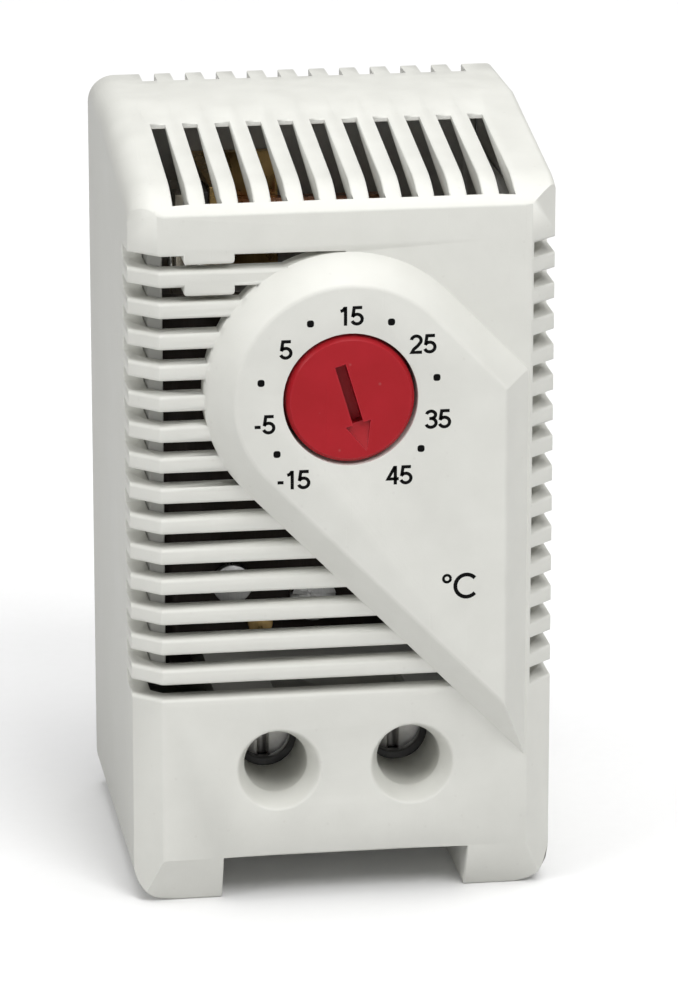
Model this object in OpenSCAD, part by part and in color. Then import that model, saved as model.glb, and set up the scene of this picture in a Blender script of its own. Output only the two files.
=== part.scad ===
// DIN rail thermostat: vented snap-on case, red setting dial, bimetal switch and two screw terminals.
// Every sub-part is drawn from the front face plane (y = 0, +Y towards the rail) and from the feet (z = 0).

/* [Case] */
// Width of the case across the rail
case_w = 33; // [31:0.5:37]
// Height of the case
case_h = 60; // [58:0.5:66]
// Depth of the case from its front face to its back
case_d = 30; // [29:0.5:34]
// Thickness of the side, roof and floor walls
wall = 1.5; // [1.2:0.1:1.8]
// Thickness of the front wall and so of the louvre bars
face_t = 1.8; // [1.5:0.1:2]
// Width of the bevel on each upright front edge, seen from the front
bevel_w = 2.15; // [1.8:0.05:2.5]
// Depth of that bevel, seen from the side
bevel_d = 2; // [1.6:0.1:2.4]
// Drop of the roof from its level part to the front face
roof_drop = 4.5; // [3:0.5:6]
// Depth of the sloping front part of the roof
roof_run = 20.1; // [16:0.1:24]
// Depth of the rounded brow between the front face and the slope of the roof
brow_run = 4; // [3:0.1:5]
// Rise of that brow above the top of the front face
brow_rise = 1.9; // [1.6:0.05:2.2]
// Corner radius along the left roof edge
roof_r = 2.1; // [1.8:0.1:2.6]
// Corner radius along the right roof edge, which is the crisper one
crisp_r = 0.6; // [0.4:0.1:1.2]
// Corner radius at the outer side of each foot
foot_r = 3; // [2:0.1:3.4]
// Height of the feet below the floor of the case
foot_h = 3.8; // [3:0.1:4.4]
// Half the gap between the two feet
foot_in = 9.6; // [9.2:0.1:10.2]
// Depth of the slanted toe at the bottom of the front face
toe_d = 1.5; // [0.5:0.1:2]

/* [Vents] */
// Number of louvre slots down the front
louvre_count = 15; // [10:1:15]
// Distance from the screwdriver holes up to the lowest louvre slot
louvre_rise = 2.92; // [2.6:0.02:3.6]
// Height of a louvre slot
louvre_h = 1.15; // [0.8:0.05:1.3]
// Top edge of the first louvre slot, measured down from the top of the front face
louvre_drop = 3.12; // [2.6:0.02:3.2]
// Depth that the slots reach round into the side walls
louvre_wrap = 5.5; // [4:0.1:7]
// Distance from the front edge of the right bevel to the slots on that side
louvre_inset = 0.2; // [0.1:0.05:0.6]
// Number of slots across the roof
vent_count = 11; // [7:2:11]
// Distance from the side of the case to the first roof slot
vent_side = 3.4; // [3:0.1:4]
// Width of a roof slot
vent_w = 1.15; // [0.8:0.05:1.3]
// Distance from the front face to the start of the roof slots
vent_start = 0.9; // [0.8:0.1:3]
// Length of the roof slots
vent_len = 14.4; // [10:0.1:16]
// Depth of the notches in the rear edge of the roof
notch_d = 2.7; // [2:0.1:3.4]
// Distance that the notches stand to the right of the roof slots
notch_shift = 0.8; // [0:0.1:1]

/* [Dial plate] */
// Height that the dial plate stands out of the front face
plate_h = 2.5; // [1.5:0.1:3]
// Radius of the round end of the plate at its foot
plate_r = 10.95; // [10:0.05:11.5]
// Slope of the plate's straight edges below the horizontal
plate_deg = 45.7; // [40:0.1:50]
// Right-hand limit of the plate, measured from the middle of the case
plate_right = 14.15; // [13.5:0.05:14.3]
// Width of the slanted flank round the plate
plate_flank = 2.05; // [1:0.05:2.4]

/* [Setting dial] */
// Distance from the top of the front face down to the dial's axis
dial_drop = 14.15; // [14:0.05:14.4]
// Radius of the dial
dial_r = 4.95; // [4.5:0.05:5.6]
// Gap between the dial and the hole in the plate
dial_gap = 0.25; // [0.2:0.01:0.3]
// Width of the screwdriver slot
dial_slot_w = 0.85; // [0.8:0.05:1.4]
// Length of the screwdriver slot
dial_slot_l = 4.8; // [4:0.1:5.6]
// Depth of the screwdriver slot
dial_slot_d = 1.6; // [0.8:0.1:1.6]
// Radius of the spindle
spindle_r = 1.5; // [1.3:0.05:1.7]
// Where the arrow points, clockwise from the top, at the stored end stop
dial_rest_deg = 163.3; // [155:0.1:165]

/* [Cam and lever] */
// Smallest radius of the spiral setting cam
cam_r = 3.4; // [3.2:0.1:3.8]
// Rise of the cam over the dial's whole turn
cam_lift = 0.6; // [0.3:0.05:0.6]
// Thickness of the cam
cam_t = 2; // [1.6:0.1:2.2]
// Radius of the nose that rides on the cam
nose_r = 1; // [0.8:0.1:1.1]
// Thickness of the lever
lever_t = 1.5; // [1.2:0.1:1.8]
// Radius of the lever's hub
hub_r = 2.2; // [2:0.1:2.4]
// Radius of the lever's pin
pin_r = 1; // [0.9:0.05:1.1]

/* [Switch] */
// Thickness of the bimetal strip
strip_t = 0.6; // [0.4:0.05:0.7]
// Width of the bimetal strip
strip_w = 5; // [4:0.1:5.4]
// Radius of the contact rivets
contact_r = 1.5; // [1.2:0.1:1.8]
// Thickness of the fixed contact's arm
arm_t = 0.8; // [0.6:0.05:1]
// Thickness of the snap magnet
magnet_t = 1.3; // [1:0.1:1.5]

/* [Terminals] */
// Distance of each terminal from the middle of the case
term_x = 5.25; // [5.15:0.05:5.4]
// Height of the terminal screws
term_z = 10.9; // [10.6:0.1:11.2]
// Radius of the hole for the screwdriver
access_r = 2.5; // [2.4:0.05:2.6]
// Radius of that hole's funnel at the front face
funnel_r = 3.25; // [2.9:0.05:3.4]
// Depth of the funnel
funnel_d = 2; // [1:0.1:2.5]
// Radius of the wire entry in the floor
wire_r = 2.1; // [1.8:0.05:2.2]
// Radius of the terminal screw's shank
screw_r = 1.5; // [1.25:0.05:1.5]
// Radius of the terminal screw's head
screw_head_r = 2.3; // [2.2:0.05:2.35]
// Travel of the clamp cage from open to closed
cage_travel = 2.5; // [1.5:0.1:2.5]
// Width of the clamp cage
cage_w = 6.4; // [6:0.1:6.4]

/* [Rail foot] */
// Width of the top-hat rail over its two flanges
rail_w = 35; // [34.8:0.1:35.2]
// Thickness of the rail's flanges
rail_t = 1; // [0.9:0.1:1.2]
// Height of the rail's middle above the middle of the case
rail_rise = 2; // [1:0.1:3]
// Depth of the whole foot behind the case
foot_d = 8.5; // [8:0.1:9]
// Distance from the back of the case to the rail
seat_d = 4; // [4:0.1:4.4]
// Width of the foot
foot_w = 24; // [22:0.5:26]
// Travel of the latch when it is pulled down
latch_travel = 3; // [2:0.1:3]
// Radius of the latch spring's winding
spring_r = 0.82; // [0.7:0.02:0.84]
// Radius of the latch spring's wire
wire_t = 0.18; // [0.15:0.01:0.2]
// Number of curls in the latch spring
spring_curls = 8; // [5:1:9]

/* [Hidden] */
$fn = 48;

// Clearances: a cut's overrun, a turning fit, two still pieces, and two pieces that pass each other
over = 1;
sheet = 0.01;
fit_gap = 0.05;
still_gap = 0.1;
air_gap = 0.3;

// Whole object
half_w = case_w / 2;
inner_w = half_w - wall;
total_d = plate_h + case_d + foot_d;
face_y = plate_h - total_d / 2;
brow_h = case_h - roof_drop;
roof_deg = atan((roof_drop - brow_rise) / (roof_run - brow_run));
brow_deg = atan(brow_rise / brow_run) - roof_deg;
brow_rad = norm([brow_run, brow_rise]) / (2 * sin(brow_deg));
brow_mid = [brow_run + brow_rad * sin(roof_deg), brow_h + brow_rise - brow_rad * cos(roof_deg)];
floor_z = foot_h + wall;
dial_z = brow_h - dial_drop;
bevel_l = norm([bevel_w, bevel_d]);

// Louvre and roof slots: the pitch shares out the room between the first slot and the last
louvre_top = brow_h - louvre_drop;
louvre_low = term_z + funnel_r + louvre_rise;
louvre_pitch = (louvre_top - louvre_h - louvre_low) / (louvre_count - 1);
vent_pitch = (case_w - 2 * vent_side - vent_w) / (vent_count - 1);

// Louvre bridges: short blocks that narrow the first slots, left of the plate
bridge_left = 12.4;
bridge_w = 3.9;
bridge_h = 0.72;
bridge_count = 2;

// Plate outline and the hollow behind its lower half
plate_steps = 36;
core_inset = 3.6;
core_skin = 1.8;
core_clear = 4;

// Dial, spindle and cam, front to back
flange_w = 1.15;
flange_t = 0.9;
flange_y = face_t + air_gap;
flange_end = flange_y + flange_t;
flange_r = dial_r + flange_w;
dial_hub_r = 2.6;
dial_rim = 0.3;
dial_slot_back = 0.4;
dial_slot_end = dial_slot_l / 2 - dial_slot_back;
arrow_w = 2;
arrow_l = 2.3;
arrow_d = 0.5;
stop_w = 1.6;
stop_reach = 1.4;
hub_end = 8.4;
frame_y = 11;
frame_t = 1;
frame_end = frame_y + frame_t;
bush_wall = 0.65;
bush_bore_r = spindle_r + fit_gap;
bush_r = bush_bore_r + bush_wall;
bush_rim_w = 1;
bush_rim_t = 1.2;
bush_end = frame_end + still_gap;
washer_y = hub_end + still_gap;
washer_end = frame_y - bush_rim_t - still_gap;
washer_r = dial_hub_r + air_gap;
cam_y = bush_end + air_gap;
cam_end = cam_y + cam_t;
cam_turn_deg = 2 * dial_rest_deg;
cam_steps = 48;
clip_t = 0.6;
clip_w = 1.1;
clip_y = cam_end + still_gap;
spindle_end = clip_y + clip_t + air_gap;

// Base plate, and the terminal block before it, front to back: screw well, clamp cage, strap
base_t = 2;
base_y = case_d - base_t;
block_d = 19.4;
block_y = base_y - block_d;
block_side = 1.2;
pocket_in = term_x - cage_w / 2 - air_gap;
pocket_out = term_x + cage_w / 2 + air_gap;
block_w = pocket_out + block_side;
well_lip_t = 0.9;
well_lip_w = 0.25;
head_y = block_y + well_lip_t + still_gap;
head_t = 1.8;
head_end = head_y + head_t;
head_slot_w = 0.8;
head_slot_d = 0.9;
well_web_t = 1;
well_end = head_end + still_gap + well_web_t;
cage_front_t = 1.8;
cage_side_t = 1;
cage_back_t = 1;
cage_hole_d = 6.4;
cage_h = 6.6;
cage_y = well_end + air_gap + cage_travel;
cage_end = cage_y + cage_front_t + cage_hole_d + cage_back_t;
strap_t = 1;
strap_w = 4;
strap_lead = 2;
strap_y = cage_y + cage_front_t + strap_lead;
strap_end = strap_y + strap_t;
strap_low = floor_z + strap_lead;
wire_y = (strap_end + cage_end - cage_back_t) / 2;
tip_y = strap_y - still_gap;
shelf_t = 2;
shelf_gap = 1.1;
shelf_low = term_z + cage_h / 2 + shelf_gap;
shelf_top = shelf_low + shelf_t;
strap_z = shelf_top + still_gap;
strap_top = strap_z + strap_t;
tube_wall = 1.1;
tube_end = block_y - air_gap;
hood_in = 5.2;
hood_w = 4.7;
hood_h = 1.7;
hood_y = face_t + (block_y - face_t) / 4;
hood_z = term_z + access_r + tube_wall + air_gap;

// Side walls of the base and their snap bumps
side_t = 1.1;
side_x = inner_w - still_gap;
side_in = side_x - side_t;
side_y = bevel_y(wall, side_x) + air_gap;
side_low = shelf_top + air_gap;
side_top = brow_h - wall;
bump_h = 0.4;
bump_l = 6;
bump_d = 1.4;
bump_y = base_y - 2 * bump_d;
bump_low = shelf_top + bump_l;
bump_high = dial_z + bump_l / 2;

// Bimetal strip at the left, and the fixed contact's arm beside it
strip_room = 2.6;
strip_x = strip_room - side_in;
strip_right = strip_x + strip_t;
strip_drop = 2;
strip_top = brow_h - strip_drop;
moving_t = 0.8;
fixed_t = 1;
contact_drop = 6.2;
contact_z = strip_top - contact_drop;
contact_tail_t = 0.3;
contact_tail_r = 0.9;
contact_stem_r = 0.6;
armature_t = 0.4;
magnet_h = 3;
magnet_inset = 0.5;
arm_x = strip_right + moving_t + air_gap + fixed_t;
arm_end = arm_x + arm_t;
arm_drop = 4;
arm_low = contact_z - arm_drop;
arm_top = strip_top + magnet_inset;
arm_foot_w = 7;
arm_foot_y = base_y - still_gap - arm_t;
rivet_r = 0.7;
rivet_rim = 0.5;
rivet_head_t = 0.5;

// Lever: pin left of the cam and below it, block that carries the strip
lever_y = frame_end + 2 * air_gap;
lever_end = lever_y + lever_t;
nose_x = -(cam_r + air_gap + nose_r);
block_reach = 3.1;
pin_x = strip_right + block_reach;
pin_rise = 5.6;
pin_z = shelf_top + pin_rise;
pin_head_t = 0.7;
pin_rim = 0.6;
lever_clip_y = lever_end + air_gap;
pin_end = lever_clip_y + clip_t + air_gap;
neck_w = 1.1;
block_lift = 2.6;
block_h = 5;
block_t = 2;
block_low = pin_z + block_lift;
block_top = block_low + block_h;
strip_y = lever_end + clip_w;
strip_end = strip_y + strip_w;
strip_tail = 0.5;
strip_mid_y = (strip_y + strip_end) / 2;
strip_rivet_l = 2;
rivet_heights = [block_low + block_h / 4, block_top - block_h / 4];

// Mechanism frame, its screws and posts
frame_low = shelf_top + air_gap;
frame_rise = 5;
frame_top = dial_z + frame_rise;
frame_w = side_in - 2 * air_gap;
ear_w = 1.8;
ear_y = 4;
post_r = 2;
post_bore_r = 0.88;
post_edge = 0.3;
post_x = frame_w - post_r - post_edge;
post_mid_x = (pin_x + pin_r + clip_w + term_x - strap_w / 2) / 2;
post_low = frame_low + 2 * post_r;
post_high = dial_z + post_r;
post_places = [[post_x, post_low], [post_x, post_high], [post_mid_x, post_low]];
frame_screw_r = 0.85;
frame_screw_l = 6;
frame_head_r = 1.8;
frame_head_t = 1.2;
window_w = 5;

// Busbars
bus_rivet_r = 0.6;
bus_head_r = 1;
bus_rivet_z = strap_top + bus_head_r + still_gap;
bus_left_top = bus_rivet_z + bus_head_r + still_gap;
bus_head_t = 0.4;
bus_back = arm_foot_y - still_gap;
bus_run_z = post_high + post_r + strap_t;
bus_run_end = arm_x + 2.5 * strap_t;
bus_rivet_step = 2.3;
bus_rivet_places = [for (i = [1, 3]) bus_run_end + i * bus_rivet_step / 2];
bus_rivet_grip = 1;
bus_right_x = (term_x + post_x - post_r) / 2;

// Foot: pedestal, top hook, tunnel for the latch
seat_y = case_d + seat_d;
foot_end = case_d + foot_d;
foot_half = foot_w / 2;
rail_z = case_h / 2 + rail_rise;
rail_top = rail_z + rail_w / 2;
rail_low = rail_z - rail_w / 2;
rail_slack = 0.4;
rail_play = 0.3;
lip_y = seat_y + rail_t + rail_play;
lip_over = 2.1;
lip_lead = 1.2;
hook_wall = 3.5;
hook_top = rail_top + rail_slack + hook_wall;
foot_low = rail_low - rail_slack / 2;
relief_d = 0.3;
relief_low = rail_low + lip_over + rail_slack;
relief_top = rail_top - lip_over - rail_slack;
cheek_low = floor_z + wall / 2;
core_y = seat_y - wall;
latch_half = 6;
latch_t = 2;
tunnel_lift = 0.7;
tunnel_y = case_d + tunnel_lift;
latch_y = tunnel_y + 2 * still_gap;
latch_end = latch_y + latch_t;
tunnel_end = latch_end + 2 * still_gap;
latch_clear = 1.2;
latch_low = latch_clear + latch_travel;
latch_top = 23.7;
tab_half = 4;
tab_h = 3;
tab_d = 3.6;
tab_slot_half = 2.2;
tab_slot_d = 1.2;
window_half = 1.6;
peg_rise = 5.2;
peg_low = latch_low + peg_rise;
peg_h = 1;
peg_half = 1.1;
latch_window_low = peg_low - 2 * still_gap;
latch_window_top = latch_top - hook_wall;
spring_y = (latch_y + latch_end) / 2;
spring_low = peg_low + peg_h + still_gap;
spring_l = latch_window_top - still_gap - spring_low;
peep_half = 2;

// Height of the bevel line at x, and its reverse, for a wall drawn in by t
function bevel_y(t, x) = (x - half_w + bevel_w + t * bevel_d / bevel_l) * bevel_d / bevel_w
    + t * bevel_w / bevel_l;
function bevel_x(t, y) = half_w - bevel_w - t * bevel_d / bevel_l
    + (y - t * bevel_w / bevel_l) * bevel_w / bevel_d;

// Shared placing
module from_face() {
    translate([0, face_y, 0]) children();
}
module along_x(x0, x1) {
    translate([x0, 0, 0]) rotate([90, 0, 90]) linear_extrude(x1 - x0) children();
}
module along_y(y0, y1) {
    translate([0, y1, 0]) rotate([90, 0, 0]) linear_extrude(y1 - y0) children();
}
module slab(low, high) {
    translate(low) cube(high - low);
}
module rod_x(r, x0, x1, y, z) {
    translate([x0, y, z]) rotate([0, 90, 0]) cylinder(r = r, h = x1 - x0);
}
module rod_y(r, y0, y1, x, z) {
    translate([x, y0, z]) rotate([-90, 0, 0]) cylinder(r = r, h = y1 - y0);
}
module both_sides() {
    children();
    mirror([1, 0, 0]) children();
}

// Case outlines
module roof_outline(inset, down) {
    w = half_w - inset;
    left_r = roof_r - inset;
    right_r = inset > 0 ? left_r : crisp_r;
    translate([left_r - w, -left_r]) circle(left_r);
    translate([w - right_r, -right_r]) circle(right_r);
    translate([left_r - w, -left_r - right_r]) square([2 * w - left_r - right_r, left_r + right_r]);
    translate([-w, -down]) square([w, down - left_r]);
    translate([0, -down]) square([w, down - right_r]);
}
module front_outline(inset) {
    w = half_w - inset;
    low_r = foot_r - inset;
    top = case_h - inset;
    difference() {
        union() {
            for (side = [-1, 1]) translate([side * (w - low_r), inset + low_r]) circle(low_r);
            translate([low_r - w, inset]) square([2 * (w - low_r), 2 * low_r]);
            translate([0, top]) roof_outline(inset, top - inset - low_r);
        }
        translate([-foot_in - inset, -over]) square([2 * (foot_in + inset), over + foot_h + inset]);
    }
}
module top_outline(inset, front, back) {
    w = half_w - inset;
    x = bevel_x(inset, front);
    y = bevel_y(inset, w);
    polygon([[-x, front], [x, front], [w, y], [w, back], [-w, back], [-w, y]]);
}
module toe_outline() {
    polygon([[0, foot_h], [toe_d, 0], [case_d, 0], [case_d, case_h], [0, case_h]]);
}
module roof_shape(inset) {
    r = brow_rad - inset;
    translate([0, brow_mid[0], brow_mid[1]]) rotate([roof_deg, 0, 0]) {
        rotate([0, 90, 0]) rotate([0, 0, 180]) rotate_extrude(angle = 90 - roof_deg)
            translate([r, 0]) rotate([0, 0, -90]) mirror([1, 0]) roof_outline(inset, r);
        translate([0, 0, r]) along_y(0, 2 * case_d) roof_outline(inset, 2 * case_h);
    }
    slab([-case_w, -over, -over], [case_w, case_d + 2 * over, brow_mid[1] + wall]);
}
module case_body(inset, front, back) {
    intersection() {
        along_y(front, back) front_outline(inset);
        linear_extrude(case_h) top_outline(inset, front, back);
        roof_shape(inset);
    }
}

// Dial plate: a disc drawn out along a slope and cut off square at the right
function plate_points(inset) = let(r = plate_r - inset, x = plate_right - inset,
        slope = tan(plate_deg), dx = r * sin(plate_deg), dz = r * cos(plate_deg))
    concat(
        [for (i = [0:plate_steps]) let(a = 270 - plate_deg - 180 * i / plate_steps)
            [r * cos(a), dial_z + r * sin(a)]],
        [[x, dial_z + dz - (x - dx) * slope], [x, dial_z - dz - (x + dx) * slope]]
    );
function plate_edge(x) = dial_z - plate_r * cos(plate_deg)
    - (x + plate_r * sin(plate_deg)) * tan(plate_deg);
module plate_solid() {
    hull() {
        along_y(-plate_h, sheet - plate_h) polygon(plate_points(plate_flank));
        along_y(0, sheet) polygon(plate_points(0));
    }
    along_y(0, face_t) polygon(plate_points(0));
}
module plate_core() {
    along_y(core_skin - plate_h, face_t + over) difference() {
        polygon(plate_points(core_inset));
        translate([0, dial_z]) circle(dial_r + core_clear);
    }
}

// Vents
module louvre_end(x0, x1, top) {
    r = louvre_h / 2;
    slab([x0, -over, top - louvre_h], [x1, louvre_wrap - r, top]);
    rod_x(r, x0, x1, louvre_wrap - r, top - r);
}
module louvres() {
    tops = [for (i = [0:louvre_count - 1]) louvre_top - i * louvre_pitch];
    difference() {
        for (top = tops) slab([-half_w, -over, top - louvre_h], [half_w, face_t + sheet, top]);
        along_y(-2 * over, face_t + over) {
            polygon(plate_points(0));
            polygon([[0, case_h], [0, plate_edge(0)], [case_w, plate_edge(case_w)], [case_w, case_h]]);
        }
    }
    for (top = tops) {
        louvre_end(-half_w - over, bevel_w + wall - half_w, top);
        louvre_end(half_w - bevel_w + louvre_inset, half_w + over, top);
    }
}
module louvre_bridges() {
    for (i = [0:bridge_count - 1]) {
        top = louvre_top - i * louvre_pitch;
        slab([-bridge_left, 0, top - bridge_h], [bridge_w - bridge_left, face_t, top + sheet]);
    }
}
module roof_slots() {
    for (i = [0:vent_count - 1]) {
        x = (i - (vent_count - 1) / 2) * vent_pitch;
        translate([x - vent_w / 2, vent_start, brow_h - wall]) cube([vent_w, vent_len, case_h]);
        translate([x + notch_shift - vent_w / 2, case_d - notch_d, case_h - 2 * wall])
            cube([vent_w, notch_d + over, case_h]);
    }
}

// Front cover
module terminal_tubes() {
    both_sides() rod_y(access_r + tube_wall, face_t / 2, tube_end, term_x, term_z);
}
module terminal_holes() {
    both_sides() {
        rod_y(access_r, -over, tube_end + over, term_x, term_z);
        translate([term_x, 0, term_z]) rotate([-90, 0, 0])
            cylinder(r1 = funnel_r, r2 = access_r, h = funnel_d);
        translate([term_x, wire_y, foot_h - over]) cylinder(r = wire_r, h = wall + 2 * over);
    }
}
module stop_peg() {
    slab([-stop_w / 2, face_t / 2, dial_z - flange_r - 2 * stop_reach + air_gap],
        [stop_w / 2, flange_end + air_gap, dial_z - flange_r - air_gap]);
}
module bumps(x, grow) {
    for (z = [bump_low, bump_high])
        slab([x, bump_y - grow, z - grow], [inner_w + bump_h + grow - still_gap, bump_y + bump_d + grow,
            z + bump_l + grow]);
}
module front_cover() {
    color("#d7d8d3") from_face() {
        difference() {
            union() {
                difference() {
                    intersection() {
                        case_body(0, 0, case_d);
                        along_x(-half_w, half_w) toe_outline();
                    }
                    case_body(wall, face_t, case_d + over);
                }
                plate_solid();
                terminal_tubes();
                stop_peg();
            }
            louvres();
            roof_slots();
            terminal_holes();
            plate_core();
            rod_y(dial_r + dial_gap, -plate_h - over, face_t + over, 0, dial_z);
            both_sides() bumps(inner_w - over, still_gap);
        }
        louvre_bridges();
    }
}

// Rear base
module terminal_block() {
    difference() {
        union() {
            slab([-block_w, block_y, floor_z + still_gap], [block_w, case_d, shelf_top]);
            both_sides() slab([hood_in, hood_y, hood_z], [hood_in + hood_w, block_y, hood_z + hood_h]);
        }
        both_sides() {
            slab([pocket_in, well_end, floor_z - over], [pocket_out, cage_end + air_gap, shelf_low]);
            slab([term_x - strap_w / 2 - still_gap, strap_y - still_gap, shelf_low - over],
                [term_x + strap_w / 2 + still_gap, strap_end + still_gap, shelf_top + over]);
            rod_y(screw_head_r - well_lip_w, block_y - over, well_end, term_x, term_z);
            rod_y(screw_head_r + fit_gap, head_y - still_gap, head_end + still_gap, term_x, term_z);
        }
    }
    both_sides() difference() {
        slab([pocket_in, head_end + still_gap, term_z - screw_head_r],
            [pocket_out, well_end, term_z + screw_head_r]);
        rod_y(screw_r + fit_gap, head_end, well_end + over, term_x, term_z);
    }
}
module frame_posts() {
    for (at = post_places) difference() {
        rod_y(post_r, frame_end, base_y + base_t / 2, at[0], at[1]);
        rod_y(post_bore_r, frame_end - over, frame_end + frame_screw_l, at[0], at[1]);
    }
}
module hook_outline() {
    polygon([[base_y, hook_top], [base_y, rail_top + rail_slack], [lip_y, rail_top + rail_slack],
        [lip_y, rail_top - lip_over], [foot_end - lip_lead, rail_top - lip_over],
        [foot_end, rail_top - lip_over + lip_lead], [foot_end, hook_top]]);
}
module foot() {
    difference() {
        union() {
            slab([-foot_half, base_y, foot_low], [foot_half, seat_y, hook_top]);
            slab([-foot_half, base_y, cheek_low], [foot_half, seat_y, foot_low]);
            along_x(-foot_half, foot_half) hook_outline();
        }
        slab([-latch_half - air_gap, tunnel_y, -over], [latch_half + air_gap, tunnel_end,
            latch_top + air_gap]);
        slab([-latch_half - 2 * air_gap, tunnel_y, -over], [latch_half + 2 * air_gap, seat_y + over,
            foot_low]);
        slab([-peep_half, tunnel_y, foot_low - over], [peep_half, seat_y + over, latch_window_top]);
        slab([-foot_half - over, seat_y - relief_d, foot_low - over], [foot_half + over, seat_y + over,
            relief_low]);
        slab([-foot_half - over, seat_y - relief_d, relief_top], [foot_half + over, lip_y,
            rail_top + rail_slack]);
    }
    slab([-peg_half, case_d, peg_low], [peg_half, latch_end, peg_low + peg_h]);
}
module foot_cores() {
    both_sides() slab([latch_half + wall, frame_end, post_low + 2 * post_r],
        [foot_half - wall, core_y, post_high - 2 * post_r]);
}
module rear_base() {
    color("#c3c4c1") from_face() difference() {
        union() {
            intersection() {
                case_body(wall + still_gap, face_t, case_d);
                slab([-half_w, base_y, 0], [half_w, case_d, case_h]);
            }
            both_sides() translate([0, 0, side_low]) linear_extrude(side_top - side_low)
                polygon([[side_in, face_t + air_gap], [side_x, side_y], [side_x, case_d],
                    [side_in, case_d]]);
            both_sides() bumps(side_in, 0);
            terminal_block();
            frame_posts();
            foot();
        }
        foot_cores();
        for (x = bus_rivet_places) rod_y(bus_rivet_r + fit_gap, base_y - over,
            base_y + bus_rivet_grip + still_gap, x, bus_run_z + strap_w / 2);
    }
}

// Rail latch and its spring
module latch_hook_outline() {
    web_low = rail_low - rail_slack - hook_wall;
    web_top = rail_low - rail_slack;
    lip_top = rail_low + lip_over;
    polygon([[latch_y, web_low], [foot_end, web_low], [foot_end, lip_top - lip_lead],
        [foot_end - lip_lead, lip_top], [lip_y, lip_top], [lip_y, web_top], [latch_y, web_top]]);
}
module rail_latch() {
    color("#5d6063") from_face() difference() {
        union() {
            slab([-latch_half, latch_y, latch_low], [latch_half, latch_end, latch_top]);
            along_x(-latch_half, latch_half) latch_hook_outline();
            slab([-tab_half, latch_y, latch_low], [tab_half, latch_end + tab_d, latch_low + tab_h]);
        }
        slab([-window_half, latch_y - over, latch_window_low], [window_half, latch_end + sheet,
            latch_window_top]);
        slab([-tab_slot_half, latch_end + tab_slot_d, latch_low - over],
            [tab_slot_half, latch_end + 2 * tab_slot_d, latch_low + tab_h + over]);
    }
}

// One unbroken wire: straight for its own thickness at each end, eight rings to a curl
curl_rings = 8;
wire_sides = 6;
helix_l = spring_l - 4 * wire_t;
helix_rings = spring_curls * curl_rings;
helix_slope = atan(helix_l / spring_curls / (2 * PI * spring_r));
spring_path = concat(
    [[0, 0, 90], [0, 2 * wire_t, 45]],
    [for (i = [1:helix_rings - 1])
        [i * 360 / curl_rings, 2 * wire_t + helix_l * i / helix_rings, helix_slope]],
    [[0, spring_l - 2 * wire_t, 45], [0, spring_l, 90]]
);
function ring_centre(p) = [spring_r * cos(p[0]), spring_r * sin(p[0]), p[1]];
function ring_point(p, a) = let(out = [cos(p[0]), sin(p[0]), 0],
        up = [sin(p[0]) * sin(p[2]), -cos(p[0]) * sin(p[2]), cos(p[2])])
    ring_centre(p) + wire_t * (cos(a) * out + sin(a) * up);
spring_gap = min([for (i = [0:len(spring_path) - 1]) for (j = [i + curl_rings / 2:1:len(spring_path) - 1])
    norm(ring_centre(spring_path[i]) - ring_centre(spring_path[j])) - 2 * wire_t]);
echo(least_gap_between_curls = spring_gap);
module latch_spring() {
    n = len(spring_path);
    points = [for (p = spring_path) for (k = [0:wire_sides - 1]) ring_point(p, k * 360 / wire_sides)];
    sides = [for (i = [0:n - 2]) for (k = [0:wire_sides - 1])
        let(a = i * wire_sides + k, b = i * wire_sides + (k + 1) % wire_sides)
        each [[a, a + wire_sides, b], [b, a + wire_sides, b + wire_sides]]];
    first = [for (k = [1:wire_sides - 2]) [0, k, k + 1]];
    last = [for (k = [1:wire_sides - 2]) (n - 1) * wire_sides * [1, 1, 1] + [0, k + 1, k]];
    color("#b9bcc0") from_face() translate([0, spring_y, spring_low])
        polyhedron(points, concat(sides, first, last));
}

// Setting dial, turned to its stored end stop
module setting_dial() {
    color("#b3262f") from_face() translate([0, 0, dial_z]) rotate([0, dial_rest_deg, 0]) difference() {
        union() {
            rotate([-90, 0, 0]) rotate_extrude() polygon([[0, -plate_h], [dial_r - dial_rim, -plate_h],
                [dial_r, dial_rim - plate_h], [dial_r, flange_y], [flange_r, flange_y],
                [flange_r, flange_end], [dial_hub_r, flange_end], [dial_hub_r, hub_end], [0, hub_end]]);
            slab([-stop_w / 2, flange_y, flange_r - stop_reach], [stop_w / 2, flange_end,
                flange_r + stop_reach]);
        }
        slab([-dial_slot_w / 2, -plate_h - over, dial_slot_end - dial_slot_l],
            [dial_slot_w / 2, dial_slot_d - plate_h, dial_slot_end]);
        intersection() {
            along_y(-plate_h - over, arrow_d - plate_h) polygon([[0, dial_slot_end + arrow_l],
                [-arrow_w / 2, dial_slot_end], [arrow_w / 2, dial_slot_end]]);
            along_x(-arrow_w, arrow_w) polygon([[-plate_h - over, dial_slot_end - over],
                [arrow_d - plate_h, dial_slot_end - over], [arrow_d - plate_h, dial_slot_end],
                [-plate_h, dial_slot_end + arrow_l], [-plate_h - over, dial_slot_end + arrow_l]]);
        }
        rod_y(spindle_r + fit_gap, flange_y - still_gap, hub_end + over, 0, 0);
    }
}
module dial_spindle() {
    color("#c9a04a") from_face() rod_y(spindle_r, flange_y, spindle_end, 0, dial_z);
}
module ring_y(outer, inner, y0, y1, x, z) {
    difference() {
        rod_y(outer, y0, y1, x, z);
        rod_y(inner, y0 - over, y1 + over, x, z);
    }
}
module friction_washer() {
    color("#2e2e30") from_face() ring_y(washer_r, spindle_r + fit_gap, washer_y, washer_end, 0, dial_z);
}
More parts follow.
